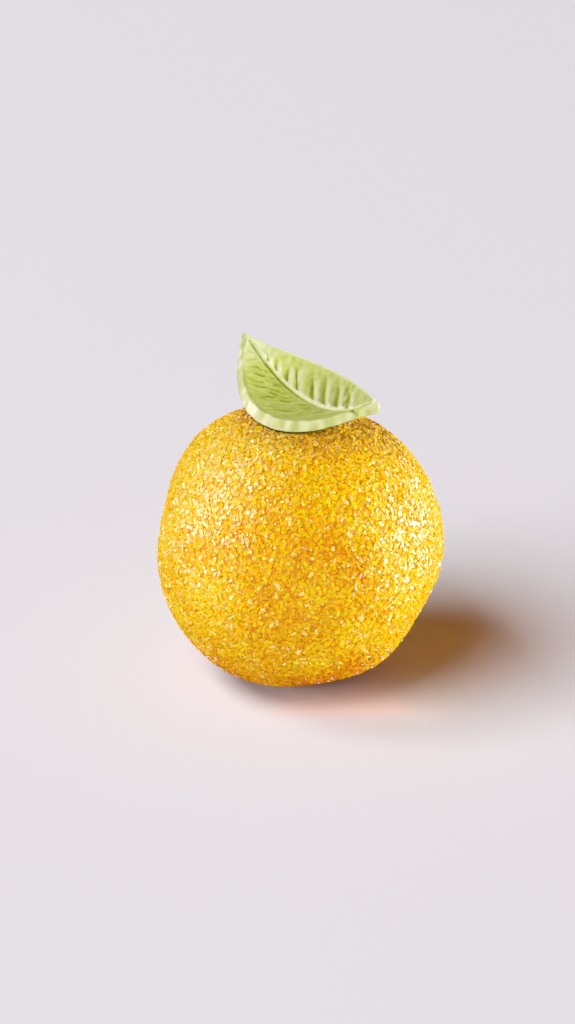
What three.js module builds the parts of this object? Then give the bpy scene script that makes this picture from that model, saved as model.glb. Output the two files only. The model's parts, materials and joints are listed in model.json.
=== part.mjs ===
// A brigadeiro: a hand-rolled ball of soft yellow paste, coated all over with coarse sugar, with a small
// modelled leaf pressed into its top. Millimetres, +Z up. The origin is the middle of the small flat spot
// that the ball rests on, and -Y is the side that the leaf's long front margin shows to.

import * as THREE from 'three';
import { ConvexHull } from 'three/addons/math/ConvexHull.js';

// The ball: its radius is measured over the tops of the sugar grains
const BALL_RADIUS = 15.06;
const BALL_CENTRE_HEIGHT = 14.2;
const FOOT_RADIUS = 3.6;
const FOOT_SIDES = 24;
const FOOT_LIFT = 0.05;
const FOOT_FADE = 2.0;

// The sugar coat: one grain to each corner of the surface, the low ones being the gaps between grains
const GRAIN_PITCH = 0.74;
const GRAIN_RELIEF = 0.42;
const GRAIN_STRAY = 0.28;
const GRAIN_SEED = 20611;

// Lumps and flats that rolling between the palms left: where they lie on the ball in degrees, how far
// they swell out in millimetres, and how wide they spread in degrees
const LUMPS = [
  { name: 'left shoulder', azimuth: 149, elevation: 47, swell: 0.97, spread: 26 },
  { name: 'right crown', azimuth: 29, elevation: 45, swell: 0.3, spread: 30 },
  { name: 'right flat', azimuth: -15, elevation: -27, swell: -0.94, spread: 20 },
  { name: 'left dent', azimuth: 174, elevation: 13, swell: -0.37, spread: 17 },
  { name: 'front slump', azimuth: -69, elevation: -62, swell: -0.79, spread: 24 },
  { name: 'back flat', azimuth: 82, elevation: -14, swell: -0.5, spread: 24 },
  { name: 'back belly', azimuth: 118, elevation: -40, swell: 0.25, spread: 22 },
];

// The leaf: lengths along and across it, and where it lies on the ball
const LEAF_LENGTH = 18.2;
const LEAF_HALF_WIDTH = 5.95;
const LEAF_SKEW = 1.14;
const LEAF_BLUNTNESS = 0.73;
const LEAF_SWAY = -0.23;
const LEAF_CENTRE = { x: 1.0, y: 2.85, z: 29.4 };
const LEAF_TURN = 134.4;
const LEAF_RISE_ALONG = 0.046;
const LEAF_RISE_ACROSS = -0.023;
const LEAF_END_LIFT = 3.8;
const TIP_CURL = 0.4;
const FRONT_CUP = 0.88;
const BACK_CUP = 0.76;

// The leaf's body: thicker at the rim, whose wall slopes out to a wider underside
const RIM_THICKNESS = 1.35;
const MIDDLE_THICKNESS = 1.1;
const RIM_SLOPE = 0.6;
const SCALLOP_DEPTH = 0.1;

// The veins pressed into the leaf's upper face
const VEIN_ANGLE = 40;
const VEIN_PITCH_AT_STEM = 2.2;
const VEIN_PITCH_AT_TIP = 1.3;
const VEIN_RELIEF = 0.12;
const MIDRIB_DEPTH = 0.3;
const MIDRIB_HALF_WIDTH = 0.55;

// The leaf's grid, and the gap between the leaf and the seat that it presses into the ball
const LEAF_STEPS_ALONG = 50;
const LEAF_STEPS_ACROSS = 16;
const SEAT_GAP = 0.3;

const radians = THREE.MathUtils.degToRad;

/** A seeded random source that gives the same numbers between 0 and 1 on every run. */
function seededRandom(seed) {
  let state = seed;
  return () => {
    state = (state + 0x6d2b79f5) | 0;
    let mixed = Math.imul(state ^ (state >>> 15), state | 1);
    mixed ^= mixed + Math.imul(mixed ^ (mixed >>> 7), mixed | 61);
    return ((mixed ^ (mixed >>> 14)) >>> 0) / 4294967296;
  };
}

/** An indexed geometry from points and corner numbers. */
function solidFrom(points, corners) {
  const geometry = new THREE.BufferGeometry().setFromPoints(points);
  geometry.setIndex(corners);
  geometry.computeVertexNormals();
  return geometry;
}

/** Half the leaf's width at a share of its length, 0 at the stem and 1 at the tip. */
function leafHalfWidth(share) {
  const belly = Math.sin(Math.PI * share ** LEAF_SKEW);
  return LEAF_HALF_WIDTH * Math.max(belly, 0) ** LEAF_BLUNTNESS;
}

/** Height of the leaf's bare upper face: a shallow boat, with both ends and both sides turned up. */
function leafHeight(along, across) {
  const reach = (2 * along) / LEAF_LENGTH;
  const cup = across > 0 ? FRONT_CUP : BACK_CUP;
  const tilt = LEAF_RISE_ALONG * along + LEAF_RISE_ACROSS * across;
  const ends = LEAF_END_LIFT * reach ** 2 + TIP_CURL * Math.max(reach, 0) ** 3;
  return tilt + ends + cup * (across / LEAF_HALF_WIDTH) ** 2;
}

/** Thickness of the leaf at a distance from its midrib. */
function leafThickness(across) {
  const toRim = Math.min((across / LEAF_HALF_WIDTH) ** 2, 1);
  return MIDDLE_THICKNESS + (RIM_THICKNESS - MIDDLE_THICKNESS) * toRim;
}

/** How many veins leave the midrib between the stem and a point along it: they crowd towards the tip. */
function veinCount(along) {
  const share = along / LEAF_LENGTH + 0.5;
  const atStem = LEAF_LENGTH / VEIN_PITCH_AT_STEM;
  const atTip = LEAF_LENGTH / VEIN_PITCH_AT_TIP;
  return atStem * share + 0.5 * (atTip - atStem) * share ** 2;
}

/** Relief of the upper face: side veins that slant from the midrib to the rim, and the midrib's groove. */
function veinRelief(along, across, shareAcross) {
  const root = along - Math.abs(across) / Math.tan(radians(VEIN_ANGLE));
  const fade = Math.sin(Math.PI * Math.abs(shareAcross));
  const veins = VEIN_RELIEF * fade * Math.cos(2 * Math.PI * veinCount(root));
  const midrib = MIDRIB_DEPTH * Math.exp(-((across / MIDRIB_HALF_WIDTH) ** 2));
  return veins - midrib * (1 - shareAcross ** 2);
}

/** A point of the leaf's upper or under face, in the leaf's own frame. */
function leafPoint(share, shareAcross, under) {
  const scallop = SCALLOP_DEPTH * Math.cos(2 * Math.PI * veinCount((share - 0.5) * LEAF_LENGTH));
  const bare = leafHalfWidth(share);
  const half = bare + scallop * Math.min(bare / LEAF_HALF_WIDTH, 1);
  const fromMiddle = shareAcross * half;
  const widen = under ? 1 + RIM_SLOPE / LEAF_HALF_WIDTH : 1;
  const lengthen = under ? 1 + (2 * RIM_SLOPE) / LEAF_LENGTH : 1;
  const along = (share - 0.5) * LEAF_LENGTH * lengthen;
  const across = fromMiddle * widen + LEAF_SWAY * (1 - (2 * share - 1) ** 2);
  const relief = under ? -leafThickness(across) : veinRelief(along, fromMiddle, shareAcross);
  return new THREE.Vector3(along, across, leafHeight(along, across) + relief);
}

/** The leaf: two faces split alike on one grid that closes to a point at each end, and the rim between. */
function leafGeometry() {
  const points = [];
  const corners = [];
  const faceOf = (under) => {
    const grid = [];
    for (let i = 0; i <= LEAF_STEPS_ALONG; i++) {
      const share = i / LEAF_STEPS_ALONG;
      const isEnd = i === 0 || i === LEAF_STEPS_ALONG;
      const row = [];
      for (let j = 0; j <= LEAF_STEPS_ACROSS; j++) {
        if (!isEnd || j === 0) points.push(leafPoint(share, isEnd ? 0 : (2 * j) / LEAF_STEPS_ACROSS - 1, under));
        row.push(points.length - 1);
      }
      grid.push(row);
    }
    return grid;
  };
  const triangle = (a, b, c) => {
    if (a !== b && b !== c && c !== a) corners.push(a, b, c);
  };
  const quad = (a, b, c, d) => {
    triangle(a, b, c);
    triangle(a, c, d);
  };
  const upper = faceOf(false);
  const under = faceOf(true);
  const back = 0;
  const front = LEAF_STEPS_ACROSS;
  for (let i = 0; i < LEAF_STEPS_ALONG; i++) {
    for (let j = 0; j < LEAF_STEPS_ACROSS; j++) {
      quad(upper[i][j], upper[i + 1][j], upper[i + 1][j + 1], upper[i][j + 1]);
      quad(under[i][j], under[i][j + 1], under[i + 1][j + 1], under[i + 1][j]);
    }
    quad(upper[i][front], upper[i + 1][front], under[i + 1][front], under[i][front]);
    quad(upper[i][back], under[i][back], under[i + 1][back], upper[i + 1][back]);
  }
  return solidFrom(points, corners);
}

/** Height above the floor that the ball may reach under a point of the leaf: its seat. */
function seatHeight(x, y) {
  const turn = radians(LEAF_TURN);
  const dx = x - LEAF_CENTRE.x;
  const dy = y - LEAF_CENTRE.y;
  const along = dx * Math.cos(turn) + dy * Math.sin(turn);
  const across = dy * Math.cos(turn) - dx * Math.sin(turn);
  const isClear = Math.abs(along) > LEAF_LENGTH / 2 || Math.abs(across) > LEAF_HALF_WIDTH + 2 * RIM_SLOPE;
  if (isClear) return Infinity;
  return LEAF_CENTRE.z + leafHeight(along, across) - leafThickness(across) - SEAT_GAP;
}

/** Unit vector towards a place on the ball, given in degrees. */
function towards(azimuth, elevation) {
  const flat = Math.cos(radians(elevation));
  const x = flat * Math.cos(radians(azimuth));
  const y = flat * Math.sin(radians(azimuth));
  return new THREE.Vector3(x, y, Math.sin(radians(elevation)));
}

/** Radius of the lumpy ball over its grains' tops, in one direction from its centre. */
function ballRadius(direction) {
  let radius = BALL_RADIUS;
  for (const lump of LUMPS) {
    const angle = direction.angleTo(towards(lump.azimuth, lump.elevation));
    radius += lump.swell * Math.exp(-((angle / radians(lump.spread)) ** 2));
  }
  return radius;
}

/** Directions of the grains: an even spiral over the ball, each grain a little astray, clear of the foot. */
function grainDirections(random) {
  const count = Math.round((4 * Math.PI * BALL_RADIUS ** 2) / GRAIN_PITCH ** 2);
  const goldenAngle = Math.PI * (3 - Math.sqrt(5));
  const stray = (2 * GRAIN_STRAY * GRAIN_PITCH) / BALL_RADIUS;
  const footAngle = Math.atan2(FOOT_RADIUS + 0.6 * GRAIN_PITCH, BALL_CENTRE_HEIGHT);
  const directions = [];
  for (let i = 0; i < count; i++) {
    const z = 1 - (2 * i + 1) / count;
    const ring = Math.sqrt(1 - z * z);
    const direction = new THREE.Vector3(ring * Math.cos(goldenAngle * i), ring * Math.sin(goldenAngle * i), z);
    direction.x += stray * (random() - 0.5);
    direction.y += stray * (random() - 0.5);
    direction.z += stray * (random() - 0.5);
    direction.normalize();
    if (Math.acos(-direction.z) > footAngle) directions.push(direction);
  }
  return directions;
}

/** One grain's point: on the lumpy ball, lowered by chance, pressed under the leaf and kept off the floor. */
function grainPoint(direction, random) {
  const outer = ballRadius(direction);
  const floorGap = BALL_CENTRE_HEIGHT + outer * direction.z;
  const relief = GRAIN_RELIEF * random() * THREE.MathUtils.smoothstep(floorGap, 0, FOOT_FADE);
  const point = direction.clone().multiplyScalar(outer - relief);
  if (direction.z > 0) {
    const seat = seatHeight(point.x, point.y) - BALL_CENTRE_HEIGHT;
    if (point.z > seat) point.multiplyScalar(seat / point.z);
  }
  point.z = Math.max(point.z, FOOT_LIFT - BALL_CENTRE_HEIGHT);
  return point;
}

/** The ring of corners round the flat spot, and the point in its middle. */
function footPoints() {
  const points = [new THREE.Vector3(0, 0, -BALL_CENTRE_HEIGHT)];
  for (let i = 0; i < FOOT_SIDES; i++) {
    const turn = (2 * Math.PI * i) / FOOT_SIDES;
    points.push(new THREE.Vector3(FOOT_RADIUS * Math.cos(turn), FOOT_RADIUS * Math.sin(turn), -BALL_CENTRE_HEIGHT));
  }
  return points;
}

/** The sugared ball: grain directions meshed as a hull on the unit ball, then moved out to their points. */
function ballGeometry() {
  const random = seededRandom(GRAIN_SEED);
  const grains = grainDirections(random);
  const foot = footPoints();
  const directions = [...grains, ...foot.map((point) => point.clone().normalize())];
  const points = [...grains.map((direction) => grainPoint(direction, random)), ...foot];
  const numberOf = new Map(directions.map((direction, i) => [direction, i]));
  const corners = [];
  for (const face of new ConvexHull().setFromPoints(directions).faces) {
    let edge = face.edge;
    do {
      corners.push(numberOf.get(edge.head().point));
      edge = edge.next;
    } while (edge !== face.edge);
  }
  return solidFrom(points, corners);
}

const sugaredPaste = new THREE.MeshStandardMaterial({ color: 0xeeb124, roughness: 0.45, metalness: 0 });
const leafPaste = new THREE.MeshStandardMaterial({ color: 0xbfc773, roughness: 0.6, metalness: 0 });

const ball = new THREE.Mesh(ballGeometry(), sugaredPaste);
ball.name = 'sugared_ball';
ball.position.z = BALL_CENTRE_HEIGHT;

const leaf = new THREE.Mesh(leafGeometry(), leafPaste);
leaf.name = 'leaf';
leaf.position.set(LEAF_CENTRE.x, LEAF_CENTRE.y, LEAF_CENTRE.z);
leaf.rotation.z = radians(LEAF_TURN);

const brigadeiro = new THREE.Group();
brigadeiro.add(ball, leaf);

export default brigadeiro;
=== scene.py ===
# %% [markdown]
# # A sugared brigadeiro with a modelled leaf
# The sweet is a ball of soft paste, rolled between the palms, then rolled in coarse yellow sugar. A thick
# little leaf of green modelling paste is pressed into its top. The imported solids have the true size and
# place of both pieces, and the forms below repeat their sizes, in millimetres. This lesson dresses them: a
# paste core, five sizes of sugar crystal lying on it, and a veined leaf.

# %% Load the frame
import json
import math

import bmesh
import bpy
import numpy as np
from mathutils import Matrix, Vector

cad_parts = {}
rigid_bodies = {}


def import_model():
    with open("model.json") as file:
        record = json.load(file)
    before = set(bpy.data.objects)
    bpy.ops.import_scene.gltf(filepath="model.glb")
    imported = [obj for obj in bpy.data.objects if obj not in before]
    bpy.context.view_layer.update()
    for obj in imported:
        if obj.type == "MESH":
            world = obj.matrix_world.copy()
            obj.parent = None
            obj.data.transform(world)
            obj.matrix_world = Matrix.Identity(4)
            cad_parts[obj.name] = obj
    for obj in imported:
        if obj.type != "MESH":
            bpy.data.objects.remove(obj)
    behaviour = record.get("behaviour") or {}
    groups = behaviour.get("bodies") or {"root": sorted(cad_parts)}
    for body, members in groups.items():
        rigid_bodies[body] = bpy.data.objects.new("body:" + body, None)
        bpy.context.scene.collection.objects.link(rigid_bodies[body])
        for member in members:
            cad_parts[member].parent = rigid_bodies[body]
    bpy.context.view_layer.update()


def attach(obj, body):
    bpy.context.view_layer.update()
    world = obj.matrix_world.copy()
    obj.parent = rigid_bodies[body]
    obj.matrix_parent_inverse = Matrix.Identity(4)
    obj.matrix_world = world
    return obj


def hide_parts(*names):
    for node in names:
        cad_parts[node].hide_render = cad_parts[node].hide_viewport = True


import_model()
MM = 0.001

# %% [markdown]
# ## The camera
# The view is from in front and a little above, with a long lens, so that the ball keeps its round outline.
# A camera could be aimed by hand or by a constraint. Here it is placed from the ball's centre: one length
# back along its line of sight, then slid sideways and up in its own picture plane, so that the ball stands
# just right of the middle and below it, and each step is a number that can be changed.

# %% Place the camera
BALL_CENTRE = np.array([0.0, 0.0, 14.2])
VIEW_ELEVATION = math.radians(26.0)
VIEW_DISTANCE = 450.0
LENS = 151.4
SENSOR_WIDTH = 36.0
NEAREST_SEEN = 10.0
BALL_RIGHT_OF_MIDDLE = 1.31
BALL_BELOW_MIDDLE = 3.76

forward = np.array([0.0, math.cos(VIEW_ELEVATION), -math.sin(VIEW_ELEVATION)])
picture_up = np.array([0.0, math.sin(VIEW_ELEVATION), math.cos(VIEW_ELEVATION)])
picture_right = np.array([1.0, 0.0, 0.0])
eye = BALL_CENTRE - VIEW_DISTANCE * forward
eye = eye - BALL_RIGHT_OF_MIDDLE * picture_right + BALL_BELOW_MIDDLE * picture_up

camera_data = bpy.data.cameras.new("camera")
camera_data.lens = LENS
camera_data.sensor_width = SENSOR_WIDTH
camera_data.clip_start = NEAREST_SEEN * MM
camera = bpy.data.objects.new("camera", camera_data)
camera.location = eye * MM
camera.rotation_euler = (math.pi / 2 - VIEW_ELEVATION, 0.0, 0.0)
bpy.context.scene.collection.objects.link(camera)
bpy.context.scene.camera = camera
print("camera at", np.round(eye, 1).tolist(), "mm")

# %% [markdown]
# ## Helpers
# A few small tools serve every piece: colours are written as sRGB hex values, a material's nodes are added
# one by one, a mesh is filled straight from arrays, and smooth noise and ramps shape what chance does.

# %% Colours and nodes
# A colour mix has sockets for other kinds of value too, so its own are named here by number
MIX_FIRST, MIX_SECOND, MIX_RESULT = 6, 7, 2


def linear(hex_colour):
    """sRGB to linear light: a channel c is c / 12.92 up to 0.04045, else ((c + 0.055) / 1.055) to 2.4."""
    channels = np.array([int(hex_colour[i : i + 2], 16) for i in (1, 3, 5)]) / 255.0
    light = np.where(channels <= 0.04045, channels / 12.92, ((channels + 0.055) / 1.055) ** 2.4)
    return (*light.tolist(), 1.0)


def add_node(tree, kind, sockets=None, **settings):
    """Add a node: settings are its properties, sockets gives each input a value or the output feeding it."""
    new = tree.nodes.new(kind)
    for name, value in settings.items():
        setattr(new, name, value)
    for name, value in (sockets or {}).items():
        if isinstance(value, bpy.types.NodeSocket):
            tree.links.new(value, new.inputs[name])
        else:
            new.inputs[name].default_value = value
    return new


def set_ramp(ramp_node, stops):
    """Put the colour stops, pairs of a place from 0 to 1 and a hex colour, on a ramp."""
    elements = ramp_node.color_ramp.elements
    while len(elements) < len(stops):
        elements.new(0.5)
    for element, (place, colour) in zip(elements, stops):
        element.position = place
        element.color = linear(colour)


def new_material(name):
    """An empty node material with its output, ready for nodes."""
    material = bpy.data.materials.new(name)
    material.use_nodes = True
    material.node_tree.nodes.clear()
    output = material.node_tree.nodes.new("ShaderNodeOutputMaterial")
    return material, material.node_tree, output.inputs["Surface"]


print("middle grey in linear light", np.round(linear("#808080"), 3).tolist())

# %% Meshes from arrays
def add_piece(name, points, corners, sides, material, smooth=True, values=None):
    """A mesh object from arrays: points in mm, the faces' corner numbers in a row, corners a face."""
    mesh = bpy.data.meshes.new(name)
    mesh.vertices.add(len(points))
    mesh.vertices.foreach_set("co", (points * MM).astype(np.float32).ravel())
    mesh.loops.add(len(corners))
    mesh.loops.foreach_set("vertex_index", corners.astype(np.int32))
    mesh.polygons.add(len(sides))
    starts = np.concatenate([[0], np.cumsum(sides)[:-1]])
    mesh.polygons.foreach_set("loop_start", starts.astype(np.int32))
    mesh.update(calc_edges=True)
    mesh.polygons.foreach_set("use_smooth", np.full(len(sides), smooth))
    for attribute, numbers in (values or {}).items():
        layer = mesh.attributes.new(attribute, "FLOAT", "POINT")
        layer.data.foreach_set("value", numbers.astype(np.float32))
    mesh.materials.append(material)
    piece = bpy.data.objects.new(name, mesh)
    bpy.context.scene.collection.objects.link(piece)
    triangles = int((np.asarray(sides) - 2).sum())
    print(name, "has", len(points), "points and", triangles, "triangles")
    return piece


# %% Smooth noise and ramps
WAVELENGTH_SPREAD = (0.75, 1.35)
WAVE_PEAK = 1.6


def waves(points, wavelength, count, seed):
    """Smooth noise from about -1 to 1: plane waves in random directions, all of about one wavelength, are
    added, times the square root of 2 over their count, over the peak that such a sum reaches."""
    random = np.random.default_rng(seed)
    headings = random.normal(size=(count, 3))
    headings /= np.linalg.norm(headings, axis=1, keepdims=True)
    lengths = wavelength * random.uniform(*WAVELENGTH_SPREAD, count)
    phases = random.uniform(0, 2 * np.pi, count)
    total = np.zeros(len(points))
    for heading, length, phase in zip(headings, lengths, phases):
        total += np.cos(points @ heading * (2 * np.pi / length) + phase)
    return total * math.sqrt(2.0 / count) / WAVE_PEAK


def rise(value, start, length):
    """A straight ramp: 0 up to the start, and 1 from a length further on."""
    return np.clip((value - start) / length, 0, 1)


def fall(value, end, length):
    """A straight ramp downwards: 1 until a length before the end, and 0 from the end on."""
    return np.clip((end - value) / length, 0, 1)


print("a ramp from 0 to 1:", rise(np.linspace(0, 1, 5), 0.25, 0.5).tolist())

# %% [markdown]
# ## The leaf's form
# The real leaf was cut from rolled modelling paste, pressed on a veined mould and dried in a curve. It could
# be sculpted, but the ball needs its form too, because the leaf presses a seat into the soft paste, so the
# form is a formula that both can ask. It is a height over the leaf's plan: a shallow boat whose two ends and
# two sides turn up. The plan's half width follows a sine raised to a power, and the underside is a little
# larger all round, because the cut rim slopes outwards.

# %% Leaf sizes and its height
LEAF_LENGTH = 18.2
LEAF_HALF_WIDTH = 5.95
LEAF_SKEW = 1.14
LEAF_BLUNTNESS = 0.73
STEM_BLUNTING = 0.11
LEAF_SWAY = -0.23
LEAF_CENTRE = np.array([1.0, 2.85, 29.4])
LEAF_TURN = math.radians(134.4)
LEAF_RISE_ALONG = 0.046
LEAF_RISE_ACROSS = -0.023
LEAF_END_LIFT = 3.8
TIP_CURL = 0.4
FRONT_CUP = 0.88
BACK_CUP = 0.76
RIM_THICKNESS = 1.35
MIDDLE_THICKNESS = 1.1
RIM_SLOPE = 0.6
STEM_THICKENING = 0.3


def leaf_height(along, across):
    """Bare height: a tilt, plus the end lift times the square of the reach along and a curl with the cube of
    the reach to the tip, plus the cup times the square of the share across."""
    reach = 2 * along / LEAF_LENGTH
    cup = np.where(across > 0, FRONT_CUP, BACK_CUP)
    tilt = LEAF_RISE_ALONG * along + LEAF_RISE_ACROSS * across
    ends = LEAF_END_LIFT * reach**2 + TIP_CURL * np.maximum(reach, 0) ** 3
    return tilt + ends + cup * (across / LEAF_HALF_WIDTH) ** 2


def leaf_thickness(along, across):
    """Thickness: the middle's, growing to the rim's with the square of the distance from the midrib, and by
    a twelfth power of the reach towards the stem, where the end is a rounded lump."""
    to_rim = np.minimum((across / LEAF_HALF_WIDTH) ** 2, 1)
    to_stem = np.maximum(-2 * along / LEAF_LENGTH, 0) ** 12
    return MIDDLE_THICKNESS + (RIM_THICKNESS - MIDDLE_THICKNESS) * to_rim + STEM_THICKENING * to_stem


def leaf_half_width(share):
    """Half the plan's width at a share of the length: the sine of pi times the skewed share, to a power that
    falls near the stem with the sixth power of the distance from the tip."""
    bluntness = LEAF_BLUNTNESS - STEM_BLUNTING * (1 - share) ** 6
    return LEAF_HALF_WIDTH * np.maximum(np.sin(np.pi * share**LEAF_SKEW), 0) ** bluntness


def leaf_midline(share):
    """How far the leaf's middle bows aside at a share of the length: the sway times 1 - (2 share - 1)^2."""
    return LEAF_SWAY * (1 - (2 * share - 1) ** 2)


def leaf_plan(x, y):
    """A place on the floor plan, turned into distances along and across the leaf."""
    dx = x - LEAF_CENTRE[0]
    dy = y - LEAF_CENTRE[1]
    along = dx * math.cos(LEAF_TURN) + dy * math.sin(LEAF_TURN)
    across = dy * math.cos(LEAF_TURN) - dx * math.sin(LEAF_TURN)
    return along, across


print("leaf", LEAF_LENGTH, "mm long and", 2 * (LEAF_HALF_WIDTH + RIM_SLOPE), "mm wide underneath")

# %% [markdown]
# ## The ball's form
# Rolling leaves a ball that is only nearly round. A sphere displaced by noise would be lumpy in the wrong
# places, so its radius in any direction is one mean radius plus a handful of soft lumps and flats, each a
# bell curve of the angle from its own middle. The same form carries the core and the sugar, so that nothing
# floats and nothing sinks.

# %% Ball sizes and its radius
BALL_RADIUS = 15.06
SEAT_GAP = 0.3
# Each lump: azimuth and elevation of its middle in degrees, swell in mm, spread in degrees
LUMPS = {
    "left shoulder": (149, 47, 0.97, 26),
    "right crown": (29, 45, 0.30, 30),
    "right flat": (-15, -27, -0.94, 20),
    "left dent": (174, 13, -0.37, 17),
    "front slump": (-69, -62, -0.79, 24),
    "back flat": (82, -14, -0.50, 24),
    "back belly": (118, -40, 0.25, 22),
}


def way(azimuth, elevation):
    """The unit vector towards an azimuth, counted from +x towards +y, and an elevation, both in degrees."""
    a, e = math.radians(azimuth), math.radians(elevation)
    return np.array([math.cos(e) * math.cos(a), math.cos(e) * math.sin(a), math.sin(e)])


def bells(ways, places):
    """The sum, over the places, of the swell times exp(-(angle from the place's middle / its spread)^2)."""
    total = np.zeros(len(ways))
    for azimuth, elevation, swell, spread in places.values():
        angle = np.arccos(np.clip(ways @ way(azimuth, elevation), -1, 1))
        total += swell * np.exp(-((angle / math.radians(spread)) ** 2))
    return total


def ball_radius(ways):
    """Radius over the sugar's tops: the mean radius plus the lumps' bells."""
    return BALL_RADIUS + bells(ways, LUMPS)


def press_seat(points, depth):
    """Lower the points that lie under the leaf until they are a depth below the underside resting there."""
    along, across = leaf_plan(points[:, 0], points[:, 1])
    under = (np.abs(along) < LEAF_LENGTH / 2) & (np.abs(across) < LEAF_HALF_WIDTH + 2 * RIM_SLOPE)
    under &= points[:, 2] > BALL_CENTRE[2]
    seat = LEAF_CENTRE[2] + leaf_height(along, across) - leaf_thickness(along, across) - depth
    pressed = points.copy()
    pressed[:, 2] = np.where(under, np.minimum(points[:, 2], seat), points[:, 2])
    return pressed


print("ball", 2 * BALL_RADIUS, "mm across before its", len(LUMPS), "lumps")

# %% [markdown]
# ## The paste core
# Between the crystals the eye looks down on sticky paste full of fine sugar dust. A smooth sphere with a
# bump in its material would do from afar, but here the gaps should read as deep amber hollows. So the core
# is one closed grid of polar angle and turn, set below the crystals' tops and roughened in the mesh with
# grit of about a millimetre. It is flat where it stands on the floor.

# %% Build the core
CORE_DEPTH = 0.26
GRIT_HEIGHT = 0.06
GRIT_SIZE = 0.9
GRIT_WAVES = 60
CORE_RINGS = 180
CORE_SPOKES = 380


def core_surface():
    """Points of the core: direction times (ball radius - core depth + grit), off the seat and the floor."""
    polar = np.linspace(0, np.pi, CORE_RINGS + 1)[1:-1]
    turn = np.arange(CORE_SPOKES) * 2 * np.pi / CORE_SPOKES
    polar, turn = np.meshgrid(polar, turn, indexing="ij")
    grid = np.stack([np.sin(polar) * np.cos(turn), np.sin(polar) * np.sin(turn), np.cos(polar)], -1)
    ways = np.concatenate([[[0.0, 0.0, 1.0]], grid.reshape(-1, 3), [[0.0, 0.0, -1.0]]])
    grit = GRIT_HEIGHT * waves(ways * BALL_RADIUS, GRIT_SIZE, GRIT_WAVES, seed=3)
    points = BALL_CENTRE + ways * (ball_radius(ways) - CORE_DEPTH + grit)[:, None]
    points = press_seat(points, SEAT_GAP + CORE_DEPTH)
    points[:, 2] = np.maximum(points[:, 2], 0.0)
    return points


def closed_ball_faces(rings, spokes):
    """Corner numbers of a grid that goes round, with a fan of triangles at each pole."""
    this = np.arange(spokes)
    following = (this + 1) % spokes
    first = 1 + np.arange(rings - 2)[:, None] * spokes
    below = first + spokes
    quads = np.stack([first + this, below + this, below + following, first + following], -1)
    top = np.stack([np.zeros(spokes, int), 1 + this, 1 + following], -1)
    last = 1 + (rings - 2) * spokes
    pole = last + spokes
    bottom = np.stack([np.full(spokes, pole), last + following, last + this], -1)
    corners = np.concatenate([quads.ravel(), top.ravel(), bottom.ravel()])
    sides = np.concatenate([np.full(quads.size // 4, 4), np.full(2 * spokes, 3)])
    return corners, sides


core_points = core_surface()
core_corners, core_sides = closed_ball_faces(CORE_RINGS, CORE_SPOKES)
print("core reaches from", np.round(core_points.min(0), 2), "to", np.round(core_points.max(0), 2))

# %% [markdown]
# ### Its finish: sugared paste
# Cooked milk paste is a dense fudge with a slight shine. Here the sugar worked into it stains it yellow. One
# plain colour would make the gaps look painted, so it is a deep gold, mottled at the scale of the grit, with
# a shine that comes and goes.

# %% Sugared paste
PASTE_GRAIN = 0.8
PASTE_GOLDS = [(0.35, "#e69e00"), (0.65, "#fabc00")]
PASTE_SHINY, PASTE_DULL = 0.35, 0.65


def sugared_paste():
    """Amber to gold by a noise of about one grain, which also sets how much it shines."""
    material, tree, surface = new_material("sugared_milk_paste")
    place = add_node(tree, "ShaderNodeTexCoord").outputs["Object"]
    mottle = add_node(
        tree, "ShaderNodeTexNoise", {"Vector": place, "Scale": 1 / (PASTE_GRAIN * MM), "Detail": 3.0}
    ).outputs["Fac"]
    colour = add_node(tree, "ShaderNodeValToRGB", {"Fac": mottle})
    set_ramp(colour, PASTE_GOLDS)
    shine = add_node(
        tree, "ShaderNodeMapRange", {"Value": mottle, "To Min": PASTE_SHINY, "To Max": PASTE_DULL}
    )
    shader = add_node(
        tree,
        "ShaderNodeBsdfPrincipled",
        {"Base Color": colour.outputs["Color"], "Roughness": shine.outputs["Result"], "IOR": 1.48},
    )
    tree.links.new(shader.outputs["BSDF"], surface)
    return material


core = add_piece("paste_core", core_points, core_corners, core_sides, sugared_paste())
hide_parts("sugared_ball")
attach(core, "root")

# %% [markdown]
# ## The sugar crystals
# Coarse sugar is sieved into sizes: here flat-faced crystals from a sixth to two thirds of a millimetre
# long. Copies of one crystal would all look alike, so each is worked out by itself, and all of one size
# are a single joined mesh, made as one array. First comes where the coat's colour is painted for light and
# shade: painted shade deepens the tint and takes pale grains away on the front, the brow under the leaf and
# the foot, while both shoulders get a painted highlight, a paler tint and more pale grains. Beside the
# leaf the sugar is painted darker, as damp sugar and as the leaf's painted shadow.

# %% Worn and damp places
# Each place: azimuth and elevation of its middle in degrees, painted shade as a loss of tint (a painted
# highlight, a gain, where it is negative), spread in degrees
SHADE_AND_HIGHLIGHT_PLACES = {
    "front": (-94, 20, 0.27, 31),
    "brow": (-62, 62, 0.20, 22),
    "foot": (-92, -75, 0.71, 47),
    "left shoulder": (-140, 52, -0.12, 26),
    "right shoulder": (-32, 28, -0.12, 24),
}
# Damp sugar beside the leaf, painted darker still as the leaf's painted shadow
LEAF_SHADOW_DRIFT = np.array([1.1, -0.6])
DAMP_SHADE_WIDTH = 2.0
DAMP_SHADE_SHARE = 0.5
# As shares of the leaf's length: where the damp and the leaf's painted shadow start by the stem, and how
# far it takes to grow
DAMP_SHADE_BY_STEM = (-0.03, 0.3)


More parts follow.
